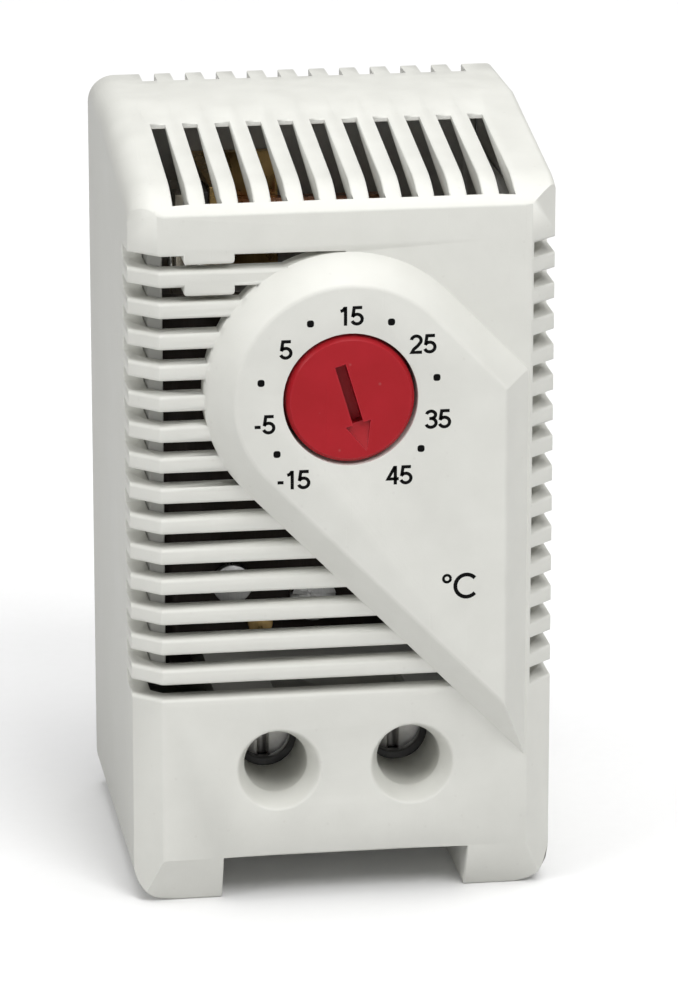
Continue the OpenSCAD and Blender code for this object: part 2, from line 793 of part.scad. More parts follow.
module spindle_bush() {
    color("#c9a04a") from_face() difference() {
        union() {
            rod_y(bush_r + bush_rim_w, frame_y - bush_rim_t, frame_y, 0, dial_z);
            rod_y(bush_r, frame_y - bush_rim_t, bush_end, 0, dial_z);
        }
        rod_y(bush_bore_r, frame_y - 2 * bush_rim_t, bush_end + over, 0, dial_z);
    }
}

// Spiral cam: its radius grows evenly over the dial's turn, then drops back
module setting_cam() {
    spiral = [for (i = [0:cam_steps])
        let(a = i * cam_turn_deg / cam_steps, r = cam_r + cam_lift * i / cam_steps)
        [-r * cos(a), r * sin(a)]];
    color("#e8e4d8") from_face() difference() {
        translate([0, 0, dial_z]) along_y(cam_y, cam_end) polygon(spiral);
        rod_y(spindle_r + fit_gap, cam_y - over, cam_end + over, 0, dial_z);
    }
}
module spindle_clip() {
    color("#8d9094") from_face()
        ring_y(spindle_r + clip_w, spindle_r + fit_gap, clip_y, clip_y + clip_t, 0, dial_z);
}

// Mechanism frame and what pins it together
module mechanism_frame() {
    color("#a9adb2") from_face() difference() {
        union() {
            slab([-frame_w, frame_y, frame_low], [frame_w, frame_end, frame_top]);
            slab([-frame_w, ear_y, frame_low], [ear_w - frame_w, frame_end, frame_low + frame_t]);
        }
        rod_y(bush_r + fit_gap, frame_y - over, frame_end + over, 0, dial_z);
        rod_y(pin_r + fit_gap, frame_y - over, frame_end + over, pin_x, pin_z);
        for (at = post_places)
            rod_y(frame_screw_r + fit_gap, frame_y - over, frame_end + over, at[0], at[1]);
        rod_y(bus_rivet_r + fit_gap, frame_y - over, frame_end + over, -term_x, bus_rivet_z);
        slab([post_x - post_r - window_w, frame_y - over, post_low + 2 * post_r],
            [post_x - post_r, frame_end + over, post_high - 2 * post_r]);
    }
}
module frame_screws() {
    color("#8d9094") from_face() for (at = post_places) difference() {
        union() {
            rod_y(frame_head_r, frame_y - frame_head_t, frame_y, at[0], at[1]);
            rod_y(frame_screw_r, frame_y - frame_head_t, frame_end + frame_screw_l - still_gap,
                at[0], at[1]);
        }
        slab([at[0] - frame_head_r - over, frame_y - 2 * frame_head_t, at[1] - head_slot_w / 2],
            [at[0] + frame_head_r + over, frame_y - frame_head_t / 2, at[1] + head_slot_w / 2]);
    }
}
module lever_pin() {
    color("#8d9094") from_face() {
        rod_y(pin_r + pin_rim, frame_y - pin_head_t, frame_y, pin_x, pin_z);
        rod_y(pin_r, frame_y - pin_head_t, pin_end, pin_x, pin_z);
    }
}
module lever_clip() {
    color("#8d9094") from_face()
        ring_y(pin_r + clip_w, pin_r + fit_gap, lever_clip_y, lever_clip_y + clip_t, pin_x, pin_z);
}

// Setting lever: hub, neck up to the nose, and the block that the strip is riveted to
module setting_lever() {
    color("#e8e4d8") from_face() difference() {
        union() {
            rod_y(hub_r, lever_y, lever_end, pin_x, pin_z);
            rod_y(nose_r, lever_y, lever_end, nose_x, dial_z);
            along_y(lever_y, lever_end) polygon([[strip_right, block_low], [pin_x - hub_r, pin_z],
                [pin_x + hub_r, pin_z], [nose_x + neck_w / 2, dial_z], [nose_x - nose_r, dial_z],
                [pin_x, block_top], [strip_right, block_top]]);
            slab([strip_right, lever_y, block_low], [strip_right + block_t, strip_end, block_top]);
        }
        rod_y(pin_r + fit_gap, lever_y - over, lever_end + over, pin_x, pin_z);
        for (z = rivet_heights)
            rod_x(rivet_r + still_gap, strip_right - over, strip_right + block_t + over, strip_mid_y, z);
    }
}

// Bimetal switch
module bimetal_strip() {
    color("#b98a4e") from_face() difference() {
        slab([strip_x, strip_y, block_low - strip_tail], [strip_right, strip_end, strip_top]);
        for (z = rivet_heights)
            rod_x(rivet_r + fit_gap, strip_x - over, strip_right + over, strip_mid_y, z);
        rod_x(contact_stem_r + fit_gap, strip_x - over, strip_right + over, strip_mid_y, contact_z);
    }
}
module strip_rivets() {
    color("#c7cace") from_face() for (z = rivet_heights) {
        rod_x(rivet_r + rivet_rim, strip_x - rivet_head_t, strip_x, strip_mid_y, z);
        rod_x(rivet_r, strip_x - rivet_head_t, strip_right + strip_rivet_l - still_gap, strip_mid_y, z);
    }
}
module moving_contact() {
    color("#d8dadc") from_face() {
        rod_x(contact_r, strip_right, strip_right + moving_t, strip_mid_y, contact_z);
        rod_x(contact_stem_r, strip_x - contact_tail_t, strip_right + moving_t, strip_mid_y, contact_z);
        rod_x(contact_tail_r, strip_x - contact_tail_t, strip_x, strip_mid_y, contact_z);
    }
}
module armature() {
    color("#7d8186") from_face()
        slab([strip_right, strip_y + magnet_inset, strip_top - magnet_h],
            [strip_right + armature_t, strip_end - magnet_inset, strip_top]);
}
module fixed_contact_arm() {
    color("#c9a04a") from_face() difference() {
        union() {
            slab([arm_x, strip_y, arm_low], [arm_end, arm_foot_y + arm_t, arm_top]);
            slab([arm_x, arm_foot_y, arm_low], [arm_x + arm_foot_w, arm_foot_y + arm_t, arm_top]);
        }
        rod_x(contact_stem_r + fit_gap, arm_x - over, arm_end + over, strip_mid_y, contact_z);
        for (x = bus_rivet_places)
            rod_y(bus_rivet_r + fit_gap, arm_foot_y - over, base_y, x, bus_run_z + strap_w / 2);
    }
}
module fixed_contact() {
    color("#d8dadc") from_face() {
        rod_x(contact_r, arm_x - fixed_t, arm_x, strip_mid_y, contact_z);
        rod_x(contact_stem_r, arm_x - fixed_t, arm_end + contact_tail_t, strip_mid_y, contact_z);
        rod_x(contact_tail_r, arm_end, arm_end + contact_tail_t, strip_mid_y, contact_z);
    }
}
module snap_magnet() {
    color("#4b4e52") from_face()
        slab([arm_x - magnet_t, strip_y + magnet_inset, strip_top - magnet_h],
            [arm_x, strip_end - magnet_inset, strip_top]);
}

// Busbars: a strap stands in each clamp cage, and runs on to the switch
module strap(side) {
    slab([side * term_x - strap_w / 2, strap_y, strap_low], [side * term_x + strap_w / 2, strap_end,
        strap_top]);
}
module busbar_left() {
    color("#cf9a5b") from_face() difference() {
        union() {
            strap(-1);
            slab([-term_x - strap_w / 2, frame_end + still_gap, strap_z], [strap_w / 2 - term_x, strap_end,
                strap_top]);
            slab([-term_x - strap_w / 2, frame_end + still_gap, strap_z],
                [strap_w / 2 - term_x, frame_end + still_gap + strap_t, bus_left_top]);
        }
        rod_y(bus_rivet_r + fit_gap, frame_end - over, frame_end + strap_t + over, -term_x, bus_rivet_z);
    }
}
module busbar_right() {
    color("#cf9a5b") from_face() difference() {
        union() {
            strap(1);
            slab([term_x - strap_w / 2, strap_y, strap_z], [term_x + strap_w / 2, bus_back, strap_top]);
            slab([term_x - strap_w / 2, bus_back - strap_t, strap_z],
                [bus_right_x, bus_back, bus_run_z + strap_w]);
            slab([bus_run_end, bus_back - strap_t, bus_run_z], [bus_right_x, bus_back, bus_run_z + strap_w]);
        }
        for (x = bus_rivet_places)
            rod_y(bus_rivet_r + fit_gap, bus_back - strap_t - over, base_y, x, bus_run_z + strap_w / 2);
    }
}
module busbar_rivet() {
    color("#c7cace") from_face() {
        rod_y(bus_head_r, frame_y - bus_head_t, frame_y, -term_x, bus_rivet_z);
        rod_y(bus_rivet_r, frame_y - bus_head_t, frame_end + still_gap + strap_t + bus_head_t, -term_x,
            bus_rivet_z);
        rod_y(bus_head_r, frame_end + still_gap + strap_t, frame_end + still_gap + strap_t + bus_head_t,
            -term_x, bus_rivet_z);
    }
}
module contact_arm_rivets() {
    color("#c7cace") from_face() for (x = bus_rivet_places) {
        rod_y(bus_head_r, bus_back - strap_t - bus_head_t, bus_back - strap_t, x, bus_run_z + strap_w / 2);
        rod_y(bus_rivet_r, bus_back - strap_t - bus_head_t, base_y + bus_rivet_grip, x,
            bus_run_z + strap_w / 2);
    }
}

// Terminals: the screw turns in its well and draws the cage forwards
module clamp_cage(side) {
    x = side * term_x;
    color("#b4b8bc") from_face() difference() {
        slab([x - cage_w / 2, cage_y, term_z - cage_h / 2], [x + cage_w / 2, cage_end, term_z + cage_h / 2]);
        slab([x - cage_w / 2 + cage_side_t, cage_y + cage_front_t, term_z - cage_h],
            [x + cage_w / 2 - cage_side_t, cage_end - cage_back_t, term_z + cage_h]);
        rod_y(screw_r + fit_gap, cage_y - over, cage_y + cage_front_t + over, x, term_z);
    }
}
module terminal_screw(side) {
    x = side * term_x;
    color("#8b8e91") from_face() difference() {
        union() {
            rod_y(screw_head_r, head_y, head_end, x, term_z);
            rod_y(screw_r, head_y, tip_y, x, term_z);
        }
        slab([x - head_slot_w / 2, head_y - over, term_z - screw_head_r - over],
            [x + head_slot_w / 2, head_y + head_slot_d, term_z + screw_head_r + over]);
    }
}
module clamp_cage_left() {
    clamp_cage(-1);
}
module clamp_cage_right() {
    clamp_cage(1);
}
module terminal_screw_left() {
    terminal_screw(-1);
}
module terminal_screw_right() {
    terminal_screw(1);
}

front_cover();
rear_base();
rail_latch();
latch_spring();
setting_dial();
dial_spindle();
friction_washer();
spindle_bush();
setting_cam();
spindle_clip();
mechanism_frame();
frame_screws();
lever_pin();
lever_clip();
setting_lever();
bimetal_strip();
strip_rivets();
moving_contact();
armature();
fixed_contact_arm();
fixed_contact();
snap_magnet();
contact_arm_rivets();
busbar_left();
busbar_right();
busbar_rivet();
clamp_cage_left();
clamp_cage_right();
terminal_screw_left();
terminal_screw_right();
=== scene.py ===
# DIN rail thermostat: finishes, softened mouldings, printed scale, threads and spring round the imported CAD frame
import bpy
import bmesh
import math
import numpy as np
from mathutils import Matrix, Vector


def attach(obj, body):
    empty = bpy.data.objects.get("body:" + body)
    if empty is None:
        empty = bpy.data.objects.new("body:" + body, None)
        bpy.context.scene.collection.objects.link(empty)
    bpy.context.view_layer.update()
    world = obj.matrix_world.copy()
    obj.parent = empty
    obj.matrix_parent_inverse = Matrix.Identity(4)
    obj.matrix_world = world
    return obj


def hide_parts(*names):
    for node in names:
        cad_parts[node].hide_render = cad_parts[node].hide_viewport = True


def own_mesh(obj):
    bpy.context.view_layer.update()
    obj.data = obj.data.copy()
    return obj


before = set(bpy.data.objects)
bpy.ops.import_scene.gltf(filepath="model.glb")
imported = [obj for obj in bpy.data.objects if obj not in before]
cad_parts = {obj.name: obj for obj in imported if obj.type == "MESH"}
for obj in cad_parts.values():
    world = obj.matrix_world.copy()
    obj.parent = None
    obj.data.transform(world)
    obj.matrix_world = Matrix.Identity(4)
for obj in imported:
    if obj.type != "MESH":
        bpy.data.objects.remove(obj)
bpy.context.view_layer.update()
scene = bpy.context.scene
scene.view_settings.view_transform = "Standard"
mm = 0.001
frontY = -18 * mm  # front face of the case; depths below are counted from it towards the rail
degree = math.pi / 180
dialHeight = 41.35  # height of the dial's axis
screwSpot = {"across": 5.25, "height": 10.9}  # both screw axes, left and right


# small helpers

def linkPiece(name, mesh, body, slotName, *materials):
    piece = bpy.data.objects.new(name, mesh)
    scene.collection.objects.link(piece)
    for material in materials:
        mesh.materials.append(material)
    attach(piece, body)
    return piece


def triangleCount(piece):
    graph = bpy.context.evaluated_depsgraph_get()
    done = piece.evaluated_get(graph)
    mesh = done.to_mesh()
    count = sum(len(face.vertices) - 2 for face in mesh.polygons)
    done.to_mesh_clear()
    return count


# a tube of points (rows, columns, 3) becomes quads between neighbours, each row wrapping round;
# capped ends close on their middle
def gridMesh(name, points, capStart=False, capEnd=False):
    rows, columns, _ = points.shape
    index = np.arange(rows * columns).reshape(rows, columns)
    here, down = index[:-1], index[1:]
    faces = np.stack([here, np.roll(here, -1, 1), np.roll(down, -1, 1), down], -1).reshape(-1, 4).tolist()
    spots = points.reshape(-1, 3)
    for wanted, ring, flip in ((capStart, index[0], True), (capEnd, index[-1], False)):
        if wanted:
            spots = np.vstack([spots, spots[ring].mean(0)])
            pole = len(spots) - 1
            pairs = np.stack([ring, np.roll(ring, -1), np.full(columns, pole)], -1)
            faces += (pairs[:, ::-1] if flip else pairs).tolist()
    mesh = bpy.data.meshes.new(name)
    mesh.from_pydata(spots.tolist(), [], faces)
    mesh.validate()
    mesh.shade_smooth()
    return mesh


# place of a point in mm: across, depth from the front face, height
def spotOf(point):
    return point.x / mm, (point.y - frontY) / mm, point.z / mm


mergeReach = 1.2e-5  # corners of a CAD mesh that lie nearer than this are one
roundFrom = 24  # outer edges that bend by fewer degrees get no bevel


# merged copy of a CAD node: outer edges get a bevel, whose width the weigh function gives as a share
# (0 stays crisp, -1 is only shaded round), and inner edges stay crisp; slices are planes (axis, place in mm,
# which faces) that part large flats first, so that a bevel only pulls on what is near
def softCopy(node, body, slotName, materials, width=0.15, segments=2, sharpest=roundFrom, weigh=None,
             cut=None, slices=()):
    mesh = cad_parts[node].data.copy()
    mesh.name = node + "_moulded"
    mesh.materials.clear()
    solid = bmesh.new()
    solid.from_mesh(mesh)
    bmesh.ops.remove_doubles(solid, verts=solid.verts, dist=mergeReach)
    if cut:
        cut(solid)
    bmesh.ops.dissolve_limit(solid, angle_limit=0.6 * degree, verts=solid.verts, edges=solid.edges, delimit=set())
    for axis, spot, wanted in slices:
        normal, origin = [0, 0, 0], [0, 0, 0]
        normal[axis], origin[axis] = 1, spot * mm
        faces = [face for face in solid.faces if wanted(*spotOf(face.calc_center_median()), face.normal)]
        edges = list({edge for face in faces for edge in face.edges})
        verts = list({vert for face in faces for vert in face.verts})
        bmesh.ops.bisect_plane(solid, geom=verts + edges + faces, dist=2e-6, plane_co=origin, plane_no=normal)
    weight = solid.edges.layers.float.new("bevel_weight_edge")
    for edge in solid.edges:
        if len(edge.link_faces) != 2:
            continue
        bend = edge.calc_face_angle_signed(0)
        edge.smooth = abs(bend) < sharpest * degree
        if bend >= max(sharpest, roundFrom) * degree:
            share = 1 if weigh is None else weigh(edge)
            edge[weight] = max(share, 0)
            edge.smooth = share != 0
    solid.to_mesh(mesh)
    solid.free()
    mesh.shade_smooth()
    piece = linkPiece(node + "_moulded", mesh, body, slotName, *materials)
    round_ = piece.modifiers.new("edges", "BEVEL")
    round_.width = width * mm
    round_.segments = segments
    round_.limit_method = "WEIGHT"
    round_.use_clamp_overlap = False
    round_.harden_normals = True
    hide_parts(node)
    print("moulded", piece.name, triangleCount(piece), "triangles")
    return piece


# shared shader effects

def socketFor(group, name, kind, direction, value=None):
    socket = group.interface.new_socket(name=name, in_out=direction, socket_type=kind)
    if value is not None:
        socket.default_value = value


def place(tree, kind, **settings):
    node = tree.nodes.new(kind)
    for key, value in settings.items():
        if key.startswith("in_"):
            node.inputs[key[3:].replace("_", " ")].default_value = value
        else:
            setattr(node, key, value)
    return node


def mathNode(tree, operation, a, b=None, clamp=False):
    node = place(tree, "ShaderNodeMath", operation=operation, use_clamp=clamp)
    for socket, value in zip(node.inputs, (a, b)):
        if isinstance(value, (int, float)):
            socket.default_value = value
        elif value is not None:
            tree.links.new(value, socket)
    return node.outputs[0]


def rangeNode(tree, value, low, high, toLow=0.0, toHigh=1.0):
    node = place(tree, "ShaderNodeMapRange", in_From_Min=low, in_From_Max=high, in_To_Min=toLow, in_To_Max=toHigh)
    tree.links.new(value, node.inputs["Value"])
    return node.outputs["Result"]


def blendColour(tree, share, a, b):
    node = place(tree, "ShaderNodeMix", data_type="RGBA")
    for socket, value in ((node.inputs[0], share), (node.inputs[6], a), (node.inputs[7], b)):
        if isinstance(value, (tuple, list, float, int)):
            socket.default_value = value
        else:
            tree.links.new(value, socket)
    return node.outputs[2]


# spark-eroded mould texture: fine round pits, a coarser mottle and slow tone drift of the moulded colour
def buildMouldGrain():
    group = bpy.data.node_groups.new("mouldGrain", "ShaderNodeTree")
    socketFor(group, "Pit size mm", "NodeSocketFloat", "INPUT", 0.12)
    socketFor(group, "Mottle size mm", "NodeSocketFloat", "INPUT", 2.5)
    socketFor(group, "Height", "NodeSocketFloat", "OUTPUT")
    socketFor(group, "Tone", "NodeSocketFloat", "OUTPUT")
    socketFor(group, "Gloss drift", "NodeSocketFloat", "OUTPUT")
    inside, outside = place(group, "NodeGroupInput"), place(group, "NodeGroupOutput")
    spot = place(group, "ShaderNodeTexCoord").outputs["Object"]
    perPit = mathNode(group, "DIVIDE", 1000, inside.outputs["Pit size mm"])
    perMottle = mathNode(group, "DIVIDE", 1000, inside.outputs["Mottle size mm"])
    pits = place(group, "ShaderNodeTexNoise", in_Detail=3.0, in_Roughness=0.6)
    cells = place(group, "ShaderNodeTexVoronoi", feature="SMOOTH_F1", in_Smoothness=0.4)
    mottle = place(group, "ShaderNodeTexNoise", in_Detail=4.0, in_Roughness=0.55)
    drift = place(group, "ShaderNodeTexNoise", in_Scale=90.0, in_Detail=2.0)
    for node, size in ((pits, perPit), (cells, perPit), (mottle, perMottle)):
        group.links.new(spot, node.inputs["Vector"])
        group.links.new(size, node.inputs["Scale"])
    group.links.new(spot, drift.inputs["Vector"])
    bumps = mathNode(group, "ADD", mathNode(group, "MULTIPLY", pits.outputs["Fac"], 0.6),
                     mathNode(group, "MULTIPLY", cells.outputs["Distance"], 0.4))
    group.links.new(bumps, outside.inputs["Height"])
    tone = mathNode(group, "ADD", mathNode(group, "MULTIPLY", mottle.outputs["Fac"], 0.6),
                    mathNode(group, "MULTIPLY", drift.outputs["Fac"], 0.4))
    group.links.new(tone, outside.inputs["Tone"])
    group.links.new(rangeNode(group, mottle.outputs["Fac"], 0.3, 0.7), outside.inputs["Gloss drift"])
    return group


# rubbed edges, paler also as a painted edge highlight: how far the true normal leans from one rounded over the given
# width
def buildEdgeWearAndHighlight():
    group = bpy.data.node_groups.new("edgeWearAndHighlight", "ShaderNodeTree")
    socketFor(group, "Width mm", "NodeSocketFloat", "INPUT", 0.25)
    socketFor(group, "Break up", "NodeSocketFloat", "INPUT", 0.5)
    socketFor(group, "Mask", "NodeSocketFloat", "OUTPUT")
    inside, outside = place(group, "NodeGroupInput"), place(group, "NodeGroupOutput")
    rounded = place(group, "ShaderNodeBevel", samples=6)
    group.links.new(mathNode(group, "DIVIDE", inside.outputs["Width mm"], 1000), rounded.inputs["Radius"])
    true = place(group, "ShaderNodeNewGeometry").outputs["Normal"]
    dot = place(group, "ShaderNodeVectorMath", operation="DOT_PRODUCT")
    group.links.new(true, dot.inputs[0])
    group.links.new(rounded.outputs[0], dot.inputs[1])
    lean = mathNode(group, "SUBTRACT", 1, dot.outputs["Value"], clamp=True)
    spot = place(group, "ShaderNodeTexCoord").outputs["Object"]
    wear = place(group, "ShaderNodeTexNoise", in_Scale=700.0, in_Detail=4.0)
    group.links.new(spot, wear.inputs["Vector"])
    broken = mathNode(group, "MULTIPLY", wear.outputs["Fac"], inside.outputs["Break up"])
    kept = mathNode(group, "SUBTRACT", 1, broken)
    group.links.new(mathNode(group, "MULTIPLY", mathNode(group, "MULTIPLY", lean, 6, clamp=True), kept, clamp=True),
                    outside.inputs["Mask"])
    return group


# handling: faint smears, rare specks of dust and short hair scratches
def buildHandling():
    group = bpy.data.node_groups.new("handling", "ShaderNodeTree")
    socketFor(group, "Smear size mm", "NodeSocketFloat", "INPUT", 9.0)
    socketFor(group, "Smear", "NodeSocketFloat", "OUTPUT")
    socketFor(group, "Scratch", "NodeSocketFloat", "OUTPUT")
    socketFor(group, "Dust", "NodeSocketFloat", "OUTPUT")
    inside, outside = place(group, "NodeGroupInput"), place(group, "NodeGroupOutput")
    spot = place(group, "ShaderNodeTexCoord").outputs["Object"]
    smear = place(group, "ShaderNodeTexNoise", in_Detail=5.0, in_Distortion=0.8)
    group.links.new(spot, smear.inputs["Vector"])
    group.links.new(mathNode(group, "DIVIDE", 1000, inside.outputs["Smear size mm"]), smear.inputs["Scale"])
    group.links.new(rangeNode(group, smear.outputs["Fac"], 0.48, 0.72), outside.inputs["Smear"])
    stretch = place(group, "ShaderNodeMapping")
    stretch.inputs["Rotation"].default_value = (0.4, 0.9, 0.3)
    stretch.inputs["Scale"].default_value = (2600, 260, 90)
    group.links.new(spot, stretch.inputs["Vector"])
    hair = place(group, "ShaderNodeTexNoise", in_Scale=1.0, in_Detail=1.0)
    group.links.new(stretch.outputs[0], hair.inputs["Vector"])
    group.links.new(rangeNode(group, hair.outputs["Fac"], 0.70, 0.76), outside.inputs["Scratch"])
    specks = place(group, "ShaderNodeTexVoronoi", in_Scale=620.0)
    group.links.new(spot, specks.inputs["Vector"])
    group.links.new(rangeNode(group, specks.outputs["Distance"], 0.05, 0.09, 1.0, 0.0), outside.inputs["Dust"])
    return group


# drawn or rolled metal: long fine streaks along the axis whose stretch value is smallest
def buildRolledMetal():
    group = bpy.data.node_groups.new("rolledMetal", "ShaderNodeTree")
    socketFor(group, "Stretch", "NodeSocketVector", "INPUT", (9000.0, 9000.0, 400.0))
    socketFor(group, "Height", "NodeSocketFloat", "OUTPUT")
    socketFor(group, "Tone", "NodeSocketFloat", "OUTPUT")
    socketFor(group, "Blotch", "NodeSocketFloat", "OUTPUT")
    inside, outside = place(group, "NodeGroupInput"), place(group, "NodeGroupOutput")
    spot = place(group, "ShaderNodeTexCoord").outputs["Object"]
    scaled = place(group, "ShaderNodeVectorMath", operation="MULTIPLY")
    group.links.new(spot, scaled.inputs[0])
    group.links.new(inside.outputs["Stretch"], scaled.inputs[1])
    streak = place(group, "ShaderNodeTexNoise", in_Scale=1.0, in_Detail=4.0, in_Roughness=0.65)
    group.links.new(scaled.outputs[0], streak.inputs["Vector"])
    blotch = place(group, "ShaderNodeTexNoise", in_Scale=420.0, in_Detail=5.0, in_Roughness=0.6)
    group.links.new(spot, blotch.inputs["Vector"])
    group.links.new(streak.outputs["Fac"], outside.inputs["Height"])
    group.links.new(mathNode(group, "ADD", mathNode(group, "MULTIPLY", streak.outputs["Fac"], 0.5),
                             mathNode(group, "MULTIPLY", blotch.outputs["Fac"], 0.5)), outside.inputs["Tone"])
    group.links.new(rangeNode(group, blotch.outputs["Fac"], 0.42, 0.68), outside.inputs["Blotch"])
    return group


mouldGrain = buildMouldGrain()
edgeWearAndHighlight = buildEdgeWearAndHighlight()
handling = buildHandling()
rolledMetal = buildRolledMetal()


def groupNode(tree, group, **values):
    node = place(tree, "ShaderNodeGroup", node_tree=group)
    for key, value in values.items():
        node.inputs[key.replace("_", " ")].default_value = value
    return node


def startMaterial(name):
    material = bpy.data.materials.new(name)
    material.use_nodes = True
    return material, material.node_tree, material.node_tree.nodes["Principled BSDF"]


# moulded plastic: colour drifts between two tones, edges go paler and glossier from wear and as a painted highlight,
# one bump has pits and scratches
def mouldedPlastic(name, colour, shade, wearHighlightColour, rough=(0.42, 0.55), pit=0.12, depth=0.006, wearAndHighlight=0.35,
                   wearHighlightWidth=0.2, dusty=0.15, specular=0.45):
    material, tree, shader = startMaterial(name)
    grain = groupNode(tree, mouldGrain, Pit_size_mm=pit)
    edge = groupNode(tree, edgeWearAndHighlight, Width_mm=wearHighlightWidth)
    touch = groupNode(tree, handling)
    tone = rangeNode(tree, grain.outputs["Tone"], 0.35, 0.65)
    base = blendColour(tree, tone, (*shade, 1), (*colour, 1))
    # paler edges: part wear, part painted highlight
    wornAndHighlit = mathNode(tree, "MULTIPLY", edge.outputs["Mask"], wearAndHighlight, clamp=True)
    base = blendColour(tree, wornAndHighlit, base, (*wearHighlightColour, 1))
    base = blendColour(tree, mathNode(tree, "MULTIPLY", touch.outputs["Dust"], dusty), base, (0.55, 0.53, 0.49, 1))
    tree.links.new(base, shader.inputs["Base Color"])
    gloss = mathNode(tree, "ADD", rangeNode(tree, grain.outputs["Gloss drift"], 0, 1, rough[0], rough[1]),
                     mathNode(tree, "MULTIPLY", touch.outputs["Smear"], -0.06))
    gloss = mathNode(tree, "SUBTRACT", gloss, mathNode(tree, "MULTIPLY", wornAndHighlit, 0.1))
    tree.links.new(gloss, shader.inputs["Roughness"])
    scratch = mathNode(tree, "MULTIPLY", touch.outputs["Scratch"], 0.8)
    height = mathNode(tree, "SUBTRACT", grain.outputs["Height"], scratch)
    bump = place(tree, "ShaderNodeBump", in_Strength=1.0, in_Distance=depth * mm)
    tree.links.new(height, bump.inputs["Height"])
    tree.links.new(bump.outputs[0], shader.inputs["Normal"])
    shader.inputs["Specular IOR Level"].default_value = specular
    return material


# painted shade for the base's screw wells: radius, depth and near-black colour of the shadow painted inside them
wellShadeLook = {"radius": 3.3, "deepest": 24.0, "soft": 0.05, "colour": (0.03, 0.03, 0.028, 1)}


# painted shade in the screw wells of the base: a near-black colour, standing in for the shadow there, goes to the
# well's inside a radius round each screw axis
def paintWellShade(material):
    tree, shader = material.node_tree, material.node_tree.nodes["Principled BSDF"]
    base = shader.inputs["Base Color"].links[0].from_socket
    spot = place(tree, "ShaderNodeSeparateXYZ")
    tree.links.new(place(tree, "ShaderNodeTexCoord").outputs["Object"], spot.inputs[0])
    sideways = mathNode(tree, "SUBTRACT", mathNode(tree, "ABSOLUTE", spot.outputs["X"]), screwSpot["across"] * mm)
    upwards = mathNode(tree, "SUBTRACT", spot.outputs["Z"], screwSpot["height"] * mm)
    away = mathNode(tree, "SQRT", mathNode(tree, "ADD", mathNode(tree, "MULTIPLY", sideways, sideways),
                                           mathNode(tree, "MULTIPLY", upwards, upwards)))
    look = wellShadeLook
    inside = rangeNode(tree, away, (look["radius"] + look["soft"]) * mm, (look["radius"] - look["soft"]) * mm)
    within = mathNode(tree, "LESS_THAN", spot.outputs["Y"], frontY + look["deepest"] * mm)
    inside = mathNode(tree, "MULTIPLY", inside, within)
    tree.links.new(blendColour(tree, inside, base, look["colour"]), shader.inputs["Base Color"])


# plated or bare metal: streaks, blotches and edges paler from wear and as a painted highlight
def platedMetal(name, colour, shade, wearHighlightColour, rough=(0.25, 0.42), stretch=(9000.0, 9000.0, 400.0), depth=0.003,
                wearAndHighlight=0.5, wearHighlightWidth=0.12):
    material, tree, shader = startMaterial(name)
    roll = groupNode(tree, rolledMetal, Stretch=stretch)
    edge = groupNode(tree, edgeWearAndHighlight, Width_mm=wearHighlightWidth)
    base = blendColour(tree, rangeNode(tree, roll.outputs["Tone"], 0.35, 0.65), (*shade, 1), (*colour, 1))
    # paler edges: part wear, part painted highlight
    base = blendColour(tree, mathNode(tree, "MULTIPLY", edge.outputs["Mask"], wearAndHighlight, clamp=True), base, (*wearHighlightColour, 1))
    tree.links.new(base, shader.inputs["Base Color"])
    tree.links.new(rangeNode(tree, roll.outputs["Blotch"], 0, 1, rough[0], rough[1]), shader.inputs["Roughness"])
    bump = place(tree, "ShaderNodeBump", in_Strength=1.0, in_Distance=depth * mm)
    tree.links.new(roll.outputs["Height"], bump.inputs["Height"])
    tree.links.new(bump.outputs[0], shader.inputs["Normal"])
    shader.inputs["Metallic"].default_value = 1.0
    return material


casePlastic = mouldedPlastic("coverMoulding", (0.735, 0.735, 0.69), (0.70, 0.70, 0.655), (0.80, 0.80, 0.76))
basePlastic = mouldedPlastic("baseMoulding", (0.50, 0.50, 0.475), (0.46, 0.46, 0.435), (0.60, 0.60, 0.57), pit=0.16)
# painted shade inside the screw wells
paintWellShade(basePlastic)
dialPlastic = mouldedPlastic("dialMoulding", (0.41, 0.010, 0.018), (0.37, 0.008, 0.014), (0.55, 0.04, 0.06),
                             rough=(0.32, 0.45), pit=0.1, depth=0.003, wearAndHighlight=0.5, dusty=0.08, specular=0.22)
latchPlastic = mouldedPlastic("latchMoulding", (0.05, 0.05, 0.052), (0.038, 0.038, 0.04), (0.12, 0.12, 0.12),
                              depth=0.008)
camPlastic = mouldedPlastic("camMoulding", (0.78, 0.76, 0.68), (0.72, 0.70, 0.62), (0.85, 0.83, 0.76), depth=0.003)
washerFibre = mouldedPlastic("washerFibre", (0.045, 0.042, 0.04), (0.03, 0.03, 0.03), (0.1, 0.09, 0.08),
                             rough=(0.7, 0.85), depth=0.012)
blackSteel = platedMetal("blackedSteel", (0.045, 0.038, 0.034), (0.028, 0.024, 0.022), (0.16, 0.15, 0.14),
                         rough=(0.4, 0.6))
zincSteel = platedMetal("zincPlate", (0.60, 0.60, 0.59), (0.48, 0.48, 0.48), (0.74, 0.74, 0.73))
screwSteel = platedMetal("screwPlate", (0.92, 0.91, 0.88), (0.80, 0.79, 0.76), (0.96, 0.95, 0.93),
                         rough=(0.34, 0.5), stretch=(2600.0, 2600.0, 2600.0))
springSteel = platedMetal("springWire", (0.46, 0.45, 0.43), (0.34, 0.33, 0.32), (0.62, 0.61, 0.6), depth=0.002)
brass = platedMetal("brassRolled", (0.72, 0.50, 0.22), (0.58, 0.38, 0.15), (0.85, 0.66, 0.36))
copper = platedMetal("copperRolled", (0.72, 0.40, 0.27), (0.56, 0.28, 0.18), (0.85, 0.55, 0.42))
silver = platedMetal("silverContact", (0.82, 0.81, 0.78), (0.70, 0.69, 0.66), (0.9, 0.9, 0.88), rough=(0.2, 0.35))
